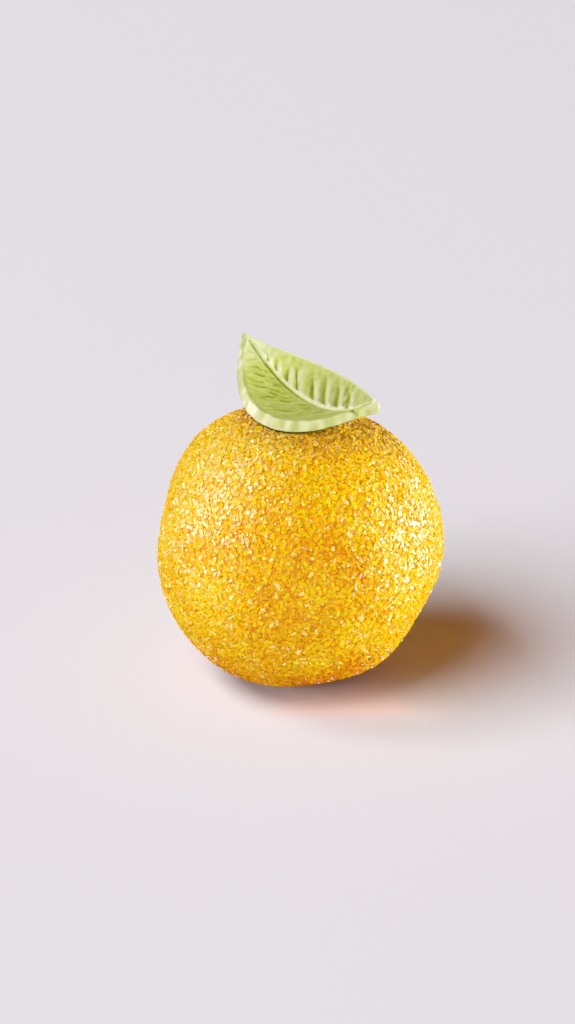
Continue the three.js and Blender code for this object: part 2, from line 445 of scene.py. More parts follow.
def damp_and_leaf_shadow(points):
    """How damp the sugar is, together with the leaf's painted shadow on it: a bell curve of the distance
    outside the leaf's underside in plan, with the outline drifted a little to the right and forwards, where
    the shadow falls, that fades out at the stem."""
    along, across = leaf_plan(points[:, 0] - LEAF_SHADOW_DRIFT[0], points[:, 1] - LEAF_SHADOW_DRIFT[1])
    share = np.clip(along / (LEAF_LENGTH + 2 * RIM_SLOPE) + 0.5, 0, 1)
    beside = np.maximum(np.abs(across - leaf_midline(share)) - leaf_half_width(share) - RIM_SLOPE, 0)
    beyond = np.maximum(np.abs(along) - LEAF_LENGTH / 2 - RIM_SLOPE, 0)
    outside = np.hypot(beside, beyond)
    near = DAMP_SHADE_SHARE * np.exp(-((outside / DAMP_SHADE_WIDTH) ** 2)) * rise(share, *DAMP_SHADE_BY_STEM)
    return np.where(points[:, 2] > BALL_CENTRE[2], near, 0)


print("damp by at most", damp_and_leaf_shadow(core_points).max().round(2))

# %% [markdown]
# ### One crystal and its place
# A crystal is a flattened six-sided prism with slanting ends and uneven corners, so that its facets glint
# one by one. A random scatter would leave bare spots and heaps. An even spiral spreads each size over the
# ball instead, and every crystal strays from it a little and is turned and tilted by chance.

# %% Crystal shape and axes
PRISM_SECTION = np.array([[0.5, 0], [0.36, 0.5], [-0.36, 0.5], [-0.5, 0], [-0.36, -0.5], [0.36, -0.5]])
GOLDEN_ANGLE = math.pi * (3 - math.sqrt(5))
NEARLY_UPRIGHT = 0.9


def spiral_ways(count, stray, random):
    """Even directions over a ball: heights in equal steps, turned by the golden angle, then strayed."""
    height = 1 - (2 * np.arange(count) + 1) / count
    turn = GOLDEN_ANGLE * np.arange(count)
    ring = np.sqrt(1 - height**2)
    ways = np.stack([ring * np.cos(turn), ring * np.sin(turn), height], -1)
    ways += random.normal(scale=stray, size=ways.shape)
    return ways / np.linalg.norm(ways, axis=1, keepdims=True)


def unit_prism():
    """A prism along x: the six-sided section at x = -0.5 and 0.5, and the faces that close it."""
    ring = len(PRISM_SECTION)
    left = np.column_stack([np.full(ring, -0.5), PRISM_SECTION])
    right = np.column_stack([np.full(ring, 0.5), PRISM_SECTION])
    this = np.arange(ring)
    following = (this + 1) % ring
    walls = np.stack([this, following, following + ring, this + ring], -1)
    corners = np.concatenate([walls.ravel(), this[::-1], this + ring])
    sides = np.array([4] * ring + [ring] * 2)
    return np.concatenate([left, right]), corners, sides


def crystal_axes(ways, tilt_spread, random):
    """Three unit axes a crystal: a random turn about the outward way, then a tilt and a roll by chance."""
    helper = np.where(np.abs(ways[:, 2:]) < NEARLY_UPRIGHT, [[0.0, 0.0, 1.0]], [[1.0, 0.0, 0.0]])
    first = np.cross(helper, ways)
    first /= np.linalg.norm(first, axis=1, keepdims=True)
    second = np.cross(ways, first)
    turn = random.uniform(0, 2 * np.pi, (len(ways), 1))
    tilt, roll = random.normal(scale=tilt_spread, size=(2, len(ways), 1))
    long_way = np.cos(turn) * first + np.sin(turn) * second
    side_way = np.cross(ways, long_way)
    lengthwise = np.cos(tilt) * long_way + np.sin(tilt) * ways
    upright = np.cos(tilt) * ways - np.sin(tilt) * long_way
    crosswise = np.cos(roll) * side_way + np.sin(roll) * upright
    upward = np.cos(roll) * upright - np.sin(roll) * side_way
    return np.stack([lengthwise, crosswise, upward], 1)


prism_points, prism_corners, prism_sides = unit_prism()
print("a crystal has", len(prism_points), "corners and", len(prism_sides), "faces")

# %% [markdown]
# ### A whole sieve size
# One array holds every corner of every crystal of a size. Each crystal is sunk until its upper side meets
# the ball's form, which keeps the outline true, and none goes below the floor. Each also gets two numbers
# for its finish, a tint and how damp it is, because a pattern drawn over the ball would cut across them.

# %% Crystal arrays
# Width and thickness as shares of the length, from and to, and by how much each corner is out
NARROWNESS = (0.6, 0.9)
FLATNESS = (0.5, 0.8)
UNEVENNESS = (0.86, 1.14)
SLANT_SPREAD = 0.25
TINT_MEAN = 0.71
TINT_SPREAD = 0.11
TINT_SPREAD_BY_SHADE = 0.08
TINT_LIMITS = (0.0, 0.84)
PATCH_STRENGTH = 0.10
PATCH_SIZE = 7.0
PATCH_WAVES = 30
# Pale grains, which are partly painted glints: their share, and their tints
PALE_GLINT_SHARE = 0.13
PALE_LOSS_BY_SHADE = 2.4
PALE_GLINT_TINTS = (0.82, 1.0)
DAMP_SHADE_CHANCE = (0.0, 2.0)


def crystal_shapes(count, length, random):
    """Prisms of all sizes: the unit prism times length, width and thickness, its corners moved by chance and
    its ends slanted by a share of the height. Gives their corners and how thick each is."""
    long = random.uniform(*length, count)
    wide = random.uniform(*NARROWNESS, count)
    thick = random.uniform(*FLATNESS, count)
    size = long[:, None] * np.stack([np.ones(count), wide, thick], -1)
    corners = prism_points[None] * size[:, None] * random.uniform(*UNEVENNESS, (count, *prism_points.shape))
    corners[:, :, 0] += random.normal(scale=SLANT_SPREAD, size=(count, 1)) * corners[:, :, 2]
    return corners, size[:, 2]


def crystal_tints(ways, middles, random):
    """Tint: a mean, plus chance, plus soft patches, less the painted shade (a painted highlight adds). A
    share of the crystals, smaller in the painted shade and larger in the highlight, is pale instead, partly
    as
    painted glints. Damp: how damp the sugar beside the leaf is, with the leaf's painted shadow, times
    chance."""
    count = len(ways)
    # painted shade on the front, the brow and the foot, and a painted highlight on both shoulders
    shaded = bells(ways, SHADE_AND_HIGHLIGHT_PLACES)
    spread = TINT_SPREAD + TINT_SPREAD_BY_SHADE * shaded
    patch = PATCH_STRENGTH * waves(middles, PATCH_SIZE, PATCH_WAVES, seed=5)
    tint = np.clip(TINT_MEAN + spread * random.normal(size=count) + patch - shaded, *TINT_LIMITS)
    is_pale_glint = random.uniform(size=count) < PALE_GLINT_SHARE * (1 - PALE_LOSS_BY_SHADE * shaded)
    tint = np.where(is_pale_glint, random.uniform(*PALE_GLINT_TINTS, count), tint)
    damp_shade = np.clip(damp_and_leaf_shadow(middles) * random.uniform(*DAMP_SHADE_CHANCE, count), 0, 1)
    return tint, damp_shade


def crystal_field(count, length, stray, tilt_spread, sunk, seed):
    """All crystals of one sieve size: shaped, turned by their axes and set at their depth on the ball."""
    random = np.random.default_rng(seed)
    ways = spiral_ways(count, stray / BALL_RADIUS, random)
    shapes, thickness = crystal_shapes(count, length, random)
    axes = crystal_axes(ways, tilt_spread, random)
    depth = 0.5 * thickness + random.uniform(*sunk, count)
    middles = BALL_CENTRE + ways * (ball_radius(ways) - depth)[:, None]
    middles = press_seat(middles, SEAT_GAP + 0.5 * thickness)
    points = shapes @ axes + middles[:, None]
    lowest = points[:, :, 2].min(1)
    points[:, :, 2] += np.maximum(-lowest, 0)[:, None]
    tint, damp_shade = crystal_tints(ways, middles, random)
    each = len(prism_points)
    corners = prism_corners[None] + each * np.arange(count)[:, None]
    values = {"tint": np.repeat(tint, each), "damp_shade": np.repeat(damp_shade, each)}
    return points.reshape(-1, 3), corners.ravel(), np.tile(prism_sides, count), values


print("share of pale crystals where nothing is worn:", PALE_GLINT_SHARE)

# %% [markdown]
# ### Their finish: dyed sugar
# Sanding sugar is clear crystal, dyed through and frosted by rubbing, so each grain is a small glowing lump
# with a glint on top. Clear glass would be truer to one grain, but thousands would go dark and noisy.
# So light bleeds through each by about a quarter of a millimetre, red furthest, and a thin clear coat gives
# the glint. Each crystal has its own tint, from deep gold to pale cream, and paler ones are more frosted;
# the pale cream ones are partly painted glints. Damp sugar goes towards dark amber and loses its shine;
# beside the leaf this dark amber is also the leaf's painted shadow. Sugar's refractive index is 1.54.

# %% Dyed sugar
# The palest colour serves the pale grains, partly painted glints; the deepest serves the foot's painted
# shade
SUGAR_GOLDS = [(0.0, "#d27a00"), (0.25, "#ea9c00"), (0.48, "#f5bb00"), (0.8, "#fdd40a"), (1.0, "#ffdb8c")]
# Dark amber of damp sugar and of the leaf's painted shadow
DAMP_SHADE_AMBER = "#ac7600"
DAMP_DULLING = 0.5
FROST_LEAST, FROST_MOST = 0.26, 0.37
SUGAR_BLEED = 0.25


def dyed_sugar():
    """Tint runs from deep gold over yellow to pale, partly painted glint; damp sugar and the leaf's painted
    shadow go to dark amber; frosted faces, a clear coat.
    """
    material, tree, surface = new_material("dyed_sugar_crystal")
    tint = add_node(tree, "ShaderNodeAttribute", attribute_name="tint").outputs["Fac"]
    damp_shade = add_node(tree, "ShaderNodeAttribute", attribute_name="damp_shade").outputs["Fac"]
    colour = add_node(tree, "ShaderNodeValToRGB", {"Fac": tint})
    set_ramp(colour, SUGAR_GOLDS)
    dry_and_damp_shade = {MIX_FIRST: colour.outputs["Color"], MIX_SECOND: linear(DAMP_SHADE_AMBER)}
    wetted_and_shaded = add_node(tree, "ShaderNodeMix", {"Factor": damp_shade, **dry_and_damp_shade}, data_type="RGBA")
    frost = add_node(
        tree, "ShaderNodeMapRange", {"Value": tint, "To Min": FROST_LEAST, "To Max": FROST_MOST}
    )
    dulled = add_node(
        tree,
        "ShaderNodeMath",
        {0: damp_shade, 1: DAMP_DULLING, 2: frost.outputs["Result"]},
        operation="MULTIPLY_ADD",
    )
    shader = add_node(
        tree,
        "ShaderNodeBsdfPrincipled",
        {
            "Base Color": wetted_and_shaded.outputs[MIX_RESULT],
            "Roughness": dulled.outputs["Value"],
            "IOR": 1.54,
            "Specular IOR Level": 0.35,
            "Coat Weight": 0.25,
            "Coat Roughness": 0.13,
            "Coat IOR": 1.54,
            "Subsurface Weight": 0.5,
            "Subsurface Radius": (1.0, 0.6, 0.05),
            "Subsurface Scale": SUGAR_BLEED * MM,
        },
    )
    tree.links.new(shader.outputs["BSDF"], surface)
    return material


sugar = dyed_sugar()
print("sugar has", len(sugar.node_tree.nodes), "nodes")

# %% [markdown]
# ### The five sizes
# The coarse crystals stand highest and tilt least, and the finer ones lie deeper, in the gaps between them.
# One mixed size would leave the paste bare or bury it.

# %% Lay the five sieve sizes
# Each size: how many, shortest and longest in mm, stray in mm, tilt in radians, sunk from and to in mm, seed
SIEVES = {
    "sugar_coarse": (5200, (0.48, 0.68), 0.20, 0.19, (-0.01, 0.09), 11),
    "sugar_medium": (9900, (0.38, 0.50), 0.14, 0.22, (0.02, 0.14), 12),
    "sugar_small": (9900, (0.30, 0.40), 0.14, 0.25, (0.06, 0.20), 14),
    "sugar_fine": (9900, (0.22, 0.31), 0.14, 0.30, (0.08, 0.22), 13),
    "sugar_dust": (9900, (0.15, 0.22), 0.14, 0.40, (0.08, 0.20), 15),
}
for name, sieve in SIEVES.items():
    points, corners, sides, values = crystal_field(*sieve)
    crystals = add_piece(name, points, corners, sides, sugar, smooth=False, values=values)
    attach(crystals, "root")

# %% [markdown]
# ## The leaf's relief
# A veined mould leaves more than lines in the paste. Behind the midrib, broad veins slant towards the tip
# between pressed pockets. A bump in the material would catch the light but leave the outline bare, so all of
# the relief is in the mesh, and it is worked out from bell curves, because each line can then be placed.

# %% Veins behind the midrib
# Each cleft: where its line meets the midrib and its half width, in mm, and its reach as a share of the way
# to the margin
CLEFTS = [
    (6.5, 0.10, 0.50),
    (5.1, 0.15, 0.52),
    (3.5, 0.19, 0.56),
    (2.2, 0.20, 0.70),
    (-0.1, 0.27, 0.78),
    (-1.8, 0.29, 0.86),
    (-3.7, 0.27, 0.88),
    (-5.3, 0.24, 0.90),
]
CLEFT_DEPTH = 0.155
# A cleft's two slopes, as shares of its half width
CLEFT_STEEP, CLEFT_GENTLE = 0.6, 1.5
# A cleft's line wavers: by how much in mm, and how fast it turns, in radians a mm outwards and along
CLEFT_WAVER = 0.07
WAVER_OUTWARDS, WAVER_ALONG = 1.7, 3
# Where it starts and how far it takes to fade in and out, as shares of the way to the margin
CLEFT_START = (0.07, 0.06)
CLEFT_FADE = 0.3
VEIN_LEAN = 0.92
VEIN_HALF_WIDTH = 0.32
VEIN_HEIGHT = 0.125
VEIN_BEHIND = 1.2 * VEIN_HALF_WIDTH


def back_veins(along, out, share_out):
    """For each slanting cleft: a pocket, steep towards the stem and gentle towards the tip, and behind it a
    bell-shaped vein. Both start beside the midrib and fade before the margin."""
    pocket = np.zeros_like(along)
    vein = np.zeros_like(along)
    for root, half_width, reach in CLEFTS:
        waver = CLEFT_WAVER * np.sin(WAVER_OUTWARDS * out + WAVER_ALONG * root)
        past = along - root - VEIN_LEAN * out + waver
        strength = rise(share_out, *CLEFT_START) * fall(share_out, reach, CLEFT_FADE)
        spread = half_width * np.where(past < 0, CLEFT_STEEP, CLEFT_GENTLE)
        pocket = np.maximum(pocket, strength * np.exp(-((past / spread) ** 2)))
        behind = past + CLEFT_STEEP * half_width + VEIN_BEHIND
        vein = np.maximum(vein, strength * np.exp(-((behind / VEIN_HALF_WIDTH) ** 2)))
    return VEIN_HEIGHT * vein - CLEFT_DEPTH * pocket


print(len(CLEFTS), "clefts behind the midrib")

# %% [markdown]
# ### The front half
# In front of the midrib the mould only left fine dashes, which join up and get shallower towards the stem.
# They are too many to list one by one, so they are evenly spaced grooves that drift, broken up by noise.

# %% Dashes in front of the midrib
DASH_LEAN = 0.62
DASH_PITCH = 0.95
DASH_DEPTH = 0.14
DASH_LENGTH = 1.5
# Shares of the pitch
DASH_HALF_WIDTH = 0.2
DASH_DRIFT = 0.35
DRIFT_SIZE = 3.0
DRIFT_WAVES = 12
# The dashes' share of a groove, what the stem adds to it, and how sharply noise cuts them
DASH_SHARE = 0.25
DASH_SHARE_BY_STEM = 0.3
DASH_CUT = 1.3
CUT_WAVES = 24
SHALLOWER_BY_STEM = 0.35
# Ramps: from the tip's side to the stem's in mm, then fading in and out on the way to the margin
TOWARDS_STEM = (3.0, 6.0)
DASH_START = (0.05, 0.1)
DASH_END = (0.88, 0.3)


def flat_waves(along, across, wavelength, count, seed):
    """Smooth noise over the leaf's plan, in the arrays' own shape."""
    places = np.stack([along, across, np.zeros_like(along)], -1)
    return waves(places.reshape(-1, 3), wavelength, count, seed).reshape(along.shape)


def front_dashes(along, out, share_out):
    """Fine slanting grooves, bell-shaped across, that a smooth noise breaks into short dashes."""
    drift = DASH_DRIFT * flat_waves(along, out, DRIFT_SIZE, DRIFT_WAVES, seed=21)
    count = (along - DASH_LEAN * out) / DASH_PITCH + drift
    groove = np.exp(-(((count - np.round(count)) / DASH_HALF_WIDTH) ** 2))
    to_stem = fall(along, *TOWARDS_STEM)
    cut = DASH_CUT * flat_waves(along, out, DASH_LENGTH, CUT_WAVES, seed=24)
    broken = np.clip(DASH_SHARE + DASH_SHARE_BY_STEM * to_stem + cut, 0, 1)
    fade = rise(share_out, *DASH_START) * fall(share_out, *DASH_END)
    return -DASH_DEPTH * (1 - SHALLOWER_BY_STEM * to_stem) * groove * broken * fade


print("dashes every", DASH_PITCH, "mm in front of the midrib")

# %% [markdown]
# ### The midrib, the wrinkles and the crease
# The midrib is a narrow groove with a ridge behind it that widens towards the stem, fine wrinkles cover the
# face, and the margin is rounded by handling. By the stem a crease crosses the front rim, with a greener
# spot beyond it, where the paste was pinched. Each is one more bell curve or noise, added to the veins.

# %% Midrib, wrinkles and crease
MIDRIB_DEPTH = 0.26
MIDRIB_HALF_WIDTH = 0.15
RIDGE_HEIGHT = 0.16
RIDGE_AT_TIP = 0.18
RIDGE_AT_STEM = 0.42
RIDGE_GAP = 0.1
# How far the ridge's top is past the gap, in its own half widths, and the ramp over which it widens, in mm
RIDGE_BEHIND = 1.15
RIDGE_WIDENS = (5.0, 9.0)
WRINKLE_HEIGHT = 0.03
WRINKLE_SIZE = 0.7
WRINKLE_LEAN = 0.7
WRINKLE_NARROWING = 0.35
WRINKLE_WAVES = 24
EDGE_ROUNDING = 0.16
# Ramps over shares of the way to the margin
WRINKLE_END = (1.0, 0.2)
ROUNDED_EDGE = (0.9, 0.1)
CREASE_ACROSS = (0.55, 0.4)
# Shares of the leaf's length, shares of the rim's height, and sizes in mm
CREASE_SHARE = 0.072
CREASE_LEAN = 0.012
CREASE_END = (1.0, 0.15)
CREASE_DEPTH = 0.18
CREASE_HALF_WIDTH = 0.12
GREEN_SPOT_AWAY = 0.34
GREEN_SPOT_HALF_WIDTH = 0.24


def leaf_relief(along, across, share_across):
    """Veins and clefts behind the midrib, dashes in front of it, the midrib's groove with its ridge, and
    fine wrinkles, less the rounding of the margin."""
    out, share_out = np.abs(across), np.abs(share_across)
    veins = np.where(across < 0, back_veins(along, out, share_out), front_dashes(along, out, share_out))
    leaning = along - WRINKLE_LEAN * out
    wrinkle = flat_waves(leaning, WRINKLE_NARROWING * out, WRINKLE_SIZE, WRINKLE_WAVES, seed=22)
    wrinkle = WRINKLE_HEIGHT * wrinkle * fall(share_out, *WRINKLE_END)
    ridge_half = RIDGE_AT_TIP + (RIDGE_AT_STEM - RIDGE_AT_TIP) * fall(along, *RIDGE_WIDENS)
    from_ridge = across + RIDGE_GAP + RIDGE_BEHIND * ridge_half
    ridge = RIDGE_HEIGHT * np.exp(-((from_ridge / ridge_half) ** 2))
    groove = MIDRIB_DEPTH * np.exp(-((across / MIDRIB_HALF_WIDTH) ** 2))
    rounding = EDGE_ROUNDING * rise(share_out, *ROUNDED_EDGE) ** 2
    return veins + wrinkle + (ridge - groove) * (1 - share_across**2) - rounding


def stem_crease(share, share_across, down):
    """Two bell curves near the stem, from 0 to 1: a crease that runs down the front rim, leaning to the
    stem, and a greener spot just beyond it."""
    past = (share - CREASE_SHARE + CREASE_LEAN * down) * LEAF_LENGTH
    front = rise(share_across, *CREASE_ACROSS) * fall(down, *CREASE_END)
    crease = front * np.exp(-((past / CREASE_HALF_WIDTH) ** 2))
    spot = front * np.exp(-(((past + GREEN_SPOT_AWAY) / GREEN_SPOT_HALF_WIDTH) ** 2))
    return crease, spot


print("crease", round(CREASE_SHARE * LEAF_LENGTH, 2), "mm from the stem's end")

# %% [markdown]
# ## The leaf's skin
# A plane with a Solidify modifier would have a rim of one width, square to its face. The real rim slopes and
# waves, because a cutter was pushed through soft paste. So the section across the leaf is one closed loop:
# over the veined face, down the sloping rim, back along the underside and up the other rim. Carried along
# the leaf, it gives the whole closed skin as one grid.

# %% Section and plan of the skin
LEAF_COLUMNS = 340
FACE_ROWS = 150
UNDER_ROWS = 50
RIM_ROWS = 14
# The cut rim waves in and out: the waves' length, depth and count, and how far apart both sides read them
SCALLOP_PITCH = 1.6
SCALLOP_DEPTH = 0.045
SCALLOP_WAVES = 10
SIDES_APART = 3
FLUTE_DEPTH = 0.012
# The rim's profile is the share gone down to this power
RIM_PROFILE = 0.8
END_BULGE = 0.5


def leaf_section():
    """The loop across the leaf: share across from -1 to 1, share of the rim gone down, and rim or not."""
    face = np.linspace(-1, 1, FACE_ROWS)
    under = np.linspace(1, -1, UNDER_ROWS)
    rim = np.linspace(0, 1, RIM_ROWS + 2)[1:-1]
    across = np.concatenate([face, np.ones(RIM_ROWS), under, -np.ones(RIM_ROWS)])
    down = np.concatenate([np.zeros(FACE_ROWS), rim, np.ones(UNDER_ROWS), rim[::-1]])
    is_rim = np.repeat([0.0, 1.0, 0.0, 1.0], [FACE_ROWS, RIM_ROWS, UNDER_ROWS, RIM_ROWS])
    return across, down, is_rim


def leaf_grid():
    """Columns along the leaf, closer at its ends, by rows round its section, as arrays of one shape."""
    share = 0.5 - 0.5 * np.cos(np.linspace(0, np.pi, LEAF_COLUMNS))
    across, down, is_rim = leaf_section()
    share, share_across = np.meshgrid(share, across, indexing="ij")
    return share, share_across, np.broadcast_to(down, share.shape), np.broadcast_to(is_rim, share.shape)


def leaf_places(share, share_across, down):
    """Distance along the leaf, across its bare face, and across its skin. Going down the rim, the plan grows
    by the rim's slope, and the ends bulge with a ninth power of the reach. The rim is scalloped, fluted."""
    bare = leaf_half_width(share)
    sides = SIDES_APART * np.sign(share_across)
    beat = flat_waves((share - 0.5) * LEAF_LENGTH, sides, SCALLOP_PITCH, SCALLOP_WAVES, seed=25)
    beat = beat * bare / LEAF_HALF_WIDTH
    outwards = down**RIM_PROFILE + FLUTE_DEPTH / RIM_SLOPE * np.sin(np.pi * down) * beat
    along = (share - 0.5) * (LEAF_LENGTH + 2 * RIM_SLOPE * outwards)
    along += END_BULGE * np.sin(np.pi * down) * (2 * share - 1) ** 9
    from_middle = share_across * (bare + SCALLOP_DEPTH * beat)
    offset = from_middle * (1 + outwards * RIM_SLOPE / LEAF_HALF_WIDTH) + leaf_midline(share)
    return along, from_middle, offset


leaf_rows = FACE_ROWS + UNDER_ROWS + 2 * RIM_ROWS
print("the leaf's grid has", LEAF_COLUMNS, "columns and", leaf_rows, "rows")

# %% [markdown]
# ### Where the leaf is paler
# Handling leaves the cut rim paler, and both ends are paler too. The ridges get a painted highlight and the
# grooves painted shade: the relief already says where ridges and grooves are, so it is handed on to the
# finish as a tone, with painted shade in the crease, the front half a little deeper, and a painted highlight
# on the back margin, which is thin and catches the light.

# %% Tones and points of the skin
# The relief fades out where the leaf's half width is less than this
END_FADE = 0.25
# Ramps: shares of the way to the margin, and mm from a middle a little towards the stem
MARGIN = (0.93, 0.07)
BACK_MARGIN = (0.9, 0.08)
FRONT_HALF = (0.0, 0.1)
ENDS_MIDDLE = -0.6
ENDS = (7.0, 1.4)
# What each place adds to the tone or takes from it, and how much of the rim's colour it has
# Painted shade in the crease, a darker front half, a painted highlight on the back margin, paler ends
CREASE_SHADE = 0.1
FRONT_TONE = 0.045
BACK_MARGIN_HIGHLIGHT = 0.28
END_TONE = 0.15
BACK_MARGIN_LOSS = 0.7
END_RIM = 0.5
STREAK_SIZE = 1.3
STREAK_WAVES = 16


def leaf_tones(along, share_across, down, is_rim, crease, spot):
    """What to add to the relief for the tone: painted shade in the crease, a little deeper on the front
    half, a painted highlight on the back margin and paler ends; and how much of the rim's colour shows, from
    0 to 1.
    """
    at_end = rise(np.abs(along - ENDS_MIDDLE), *ENDS)
    lit_back_margin = rise(-share_across, *BACK_MARGIN) * (1 - down)
    rim = np.maximum(is_rim, rise(np.abs(share_across), *MARGIN))
    rim = np.maximum(rim, END_RIM * at_end)
    rim = rim * (1 - np.maximum(crease, spot)) * (1 - BACK_MARGIN_LOSS * lit_back_margin)
    deeper = CREASE_SHADE * crease * is_rim + FRONT_TONE * rise(share_across, *FRONT_HALF)
    paler = BACK_MARGIN_HIGHLIGHT * lit_back_margin + END_TONE * at_end
    return paler - deeper, rim


def leaf_skin():
    """Points of the closed skin, columns by rows: the leaf's height, less the thickness times the share gone
    down, plus the relief, which only the face has. With them come the three values for the finish."""
    share, share_across, down, is_rim = leaf_grid()
    along, from_middle, offset = leaf_places(share, share_across, down)
    crease, spot = stem_crease(share, share_across, down)
    offset = offset - CREASE_DEPTH * crease
    relief = leaf_relief(along, from_middle, share_across) * (1 - down)
    relief = relief * rise(leaf_half_width(share), 0, END_FADE) - CREASE_DEPTH * crease * (1 - is_rim)
    x = LEAF_CENTRE[0] + along * math.cos(LEAF_TURN) - offset * math.sin(LEAF_TURN)
    y = LEAF_CENTRE[1] + along * math.sin(LEAF_TURN) + offset * math.cos(LEAF_TURN)
    z = LEAF_CENTRE[2] + leaf_height(along, offset) - down * leaf_thickness(along, offset) + relief
    tone, rim = leaf_tones(along, share_across, down, is_rim, crease, spot)
    streak = flat_waves(along, offset, STREAK_SIZE, STREAK_WAVES, seed=23)
    # The relief drives the colour: painted shade in the grooves, a painted highlight on the ridges
    values = {"relief": (relief + tone).ravel(), "rim": rim.ravel(), "streak": streak.ravel()}
    return np.stack([x, y, z], -1).reshape(-1, 3), values


leaf_points, leaf_values = leaf_skin()
print("leaf reaches from", np.round(leaf_points.min(0), 2), "to", np.round(leaf_points.max(0), 2))

# %% [markdown]
# ### Its finish: green modelling paste
# Modelling paste is sugar and fat, tinted pale green and matt to satin. Its colour could be painted on, but
# the tone that came with the relief already knows every groove, so it drives the colour, with some mottle:
# painted shade in the grooves and a painted highlight on the ridges. The cut rim has streaks of its own, and
# a fine grain breaks up the shine.

# %% Green modelling paste
# From the lowest tone to the highest, in mm of relief
TONE_LOWEST, TONE_HIGHEST = -0.2, 0.2
# Face colours, from the painted shade of the grooves to the painted highlight of the ridges
FACE_GREENS = [(0.0, "#808c16"), (0.25, "#aab43c"), (0.5, "#c8d070"), (0.8, "#dde0ac"), (1.0, "#e8eacc")]
RIM_GREENS = [(0.2, "#aeba5e"), (0.5, "#bec578"), (0.8, "#cdd296")]
MOTTLE_WIDTH = 0.5
MOTTLE_STRENGTH = 0.4
GRAIN_WIDTH = 0.22
GRAIN_DEPTH = 0.03
SATIN, MATT = 0.4, 0.6


def green_paste():
    """Olive in the grooves as painted shade, pale green on the ridges as a painted highlight and on the rim,
    with a mottle and a fine grain.
    """
    material, tree, surface = new_material("green_modelling_paste")
    place = add_node(tree, "ShaderNodeTexCoord").outputs["Object"]
    mottle = add_node(
        tree, "ShaderNodeTexNoise", {"Vector": place, "Scale": 1 / (MOTTLE_WIDTH * MM), "Detail": 3.0}
    ).outputs["Fac"]
    tone = add_node(tree, "ShaderNodeAttribute", attribute_name="relief").outputs["Fac"]
    level = add_node(
        tree, "ShaderNodeMapRange", {"Value": tone, "From Min": TONE_LOWEST, "From Max": TONE_HIGHEST}
    )
    mottled = add_node(
        tree,
        "ShaderNodeMath",
        {0: mottle, 1: MOTTLE_STRENGTH, 2: level.outputs["Result"]},
        operation="MULTIPLY_ADD",
    )
    half_mottle = {0: mottled.outputs["Value"], 1: 0.5 * MOTTLE_STRENGTH}
    centred = add_node(tree, "ShaderNodeMath", half_mottle, operation="SUBTRACT")
    face = add_node(tree, "ShaderNodeValToRGB", {"Fac": centred.outputs["Value"]})
    set_ramp(face, FACE_GREENS)
    streak = add_node(tree, "ShaderNodeAttribute", attribute_name="streak").outputs["Fac"]
    streak_level = add_node(
        tree, "ShaderNodeMapRange", {"Value": streak, "From Min": -1.0, "From Max": 1.0}
    )
    cut_rim = add_node(tree, "ShaderNodeValToRGB", {"Fac": streak_level.outputs["Result"]})
    set_ramp(cut_rim, RIM_GREENS)
    rim = add_node(tree, "ShaderNodeAttribute", attribute_name="rim").outputs["Fac"]
    face_and_rim = {MIX_FIRST: face.outputs["Color"], MIX_SECOND: cut_rim.outputs["Color"]}
    colour = add_node(tree, "ShaderNodeMix", {"Factor": rim, **face_and_rim}, data_type="RGBA")
    satin = add_node(tree, "ShaderNodeMapRange", {"Value": mottle, "To Min": SATIN, "To Max": MATT})
    grain = add_node(
        tree, "ShaderNodeTexNoise", {"Vector": place, "Scale": 1 / (GRAIN_WIDTH * MM), "Detail": 2.0}
    ).outputs["Fac"]
    bump = add_node(
        tree, "ShaderNodeBump", {"Height": grain, "Strength": 0.5, "Distance": GRAIN_DEPTH * MM}
    )
    shader = add_node(
        tree,
        "ShaderNodeBsdfPrincipled",
        {
            "Base Color": colour.outputs[MIX_RESULT],
            "Roughness": satin.outputs["Result"],
            "IOR": 1.46,
            "Normal": bump.outputs["Normal"],
        },
    )
    tree.links.new(shader.outputs["BSDF"], surface)
    return material


paste = green_paste()
print("green paste has", len(paste.node_tree.nodes), "nodes")

# %% [markdown]
# ### The leaf as a mesh
# At both ends the section shrinks to a line, so the grid's outer columns fold onto themselves. Their points
# are merged, which closes the skin there.

# %% Build the leaf
SAME_PLACE = 0.0002


def loop_grid_faces(columns, rows):
    """Quads of a grid whose rows go round in a loop."""
    here = np.arange(columns - 1)[:, None] * rows
    beyond = here + rows
    this = np.arange(rows)
    following = (this + 1) % rows
    quads = np.stack([here + this, beyond + this, beyond + following, here + following], -1)
    return quads.ravel(), np.full(quads.size // 4, 4)


def merge_doubles(piece):
    """Merge the points that fall together, where the section shrinks to a line at each end of the leaf."""
    shell = bmesh.new()
    shell.from_mesh(piece.data)
    before = len(shell.verts)
    bmesh.ops.remove_doubles(shell, verts=shell.verts, dist=SAME_PLACE * MM)
    shell.to_mesh(piece.data)
    open_edges = sum(not edge.is_manifold for edge in shell.edges)
    print(piece.name, "lost", before - len(shell.verts), "doubled points and has", open_edges, "open edges")
    shell.free()


leaf_corners, leaf_sides = loop_grid_faces(LEAF_COLUMNS, leaf_rows)
leaf = add_piece("veined_leaf", leaf_points, leaf_corners, leaf_sides, paste, values=leaf_values)
merge_doubles(leaf)
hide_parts("leaf")
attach(leaf, "root")

# %% [markdown]
# ## The floor
# The floor is a plain pale sweep: flat round the sweet, then curving up on all sides, so that no horizon
# shows. A flat plane would end in one. It is matt, so that it mirrors nothing.

# %% Floor
FLAT_RADIUS = 700.0
SWEEP_HALF = 2000.0
SWEEP_HEIGHT = 330.0
SWEEP_POINTS = 81
CARD_GREY = "#b6b1b5"


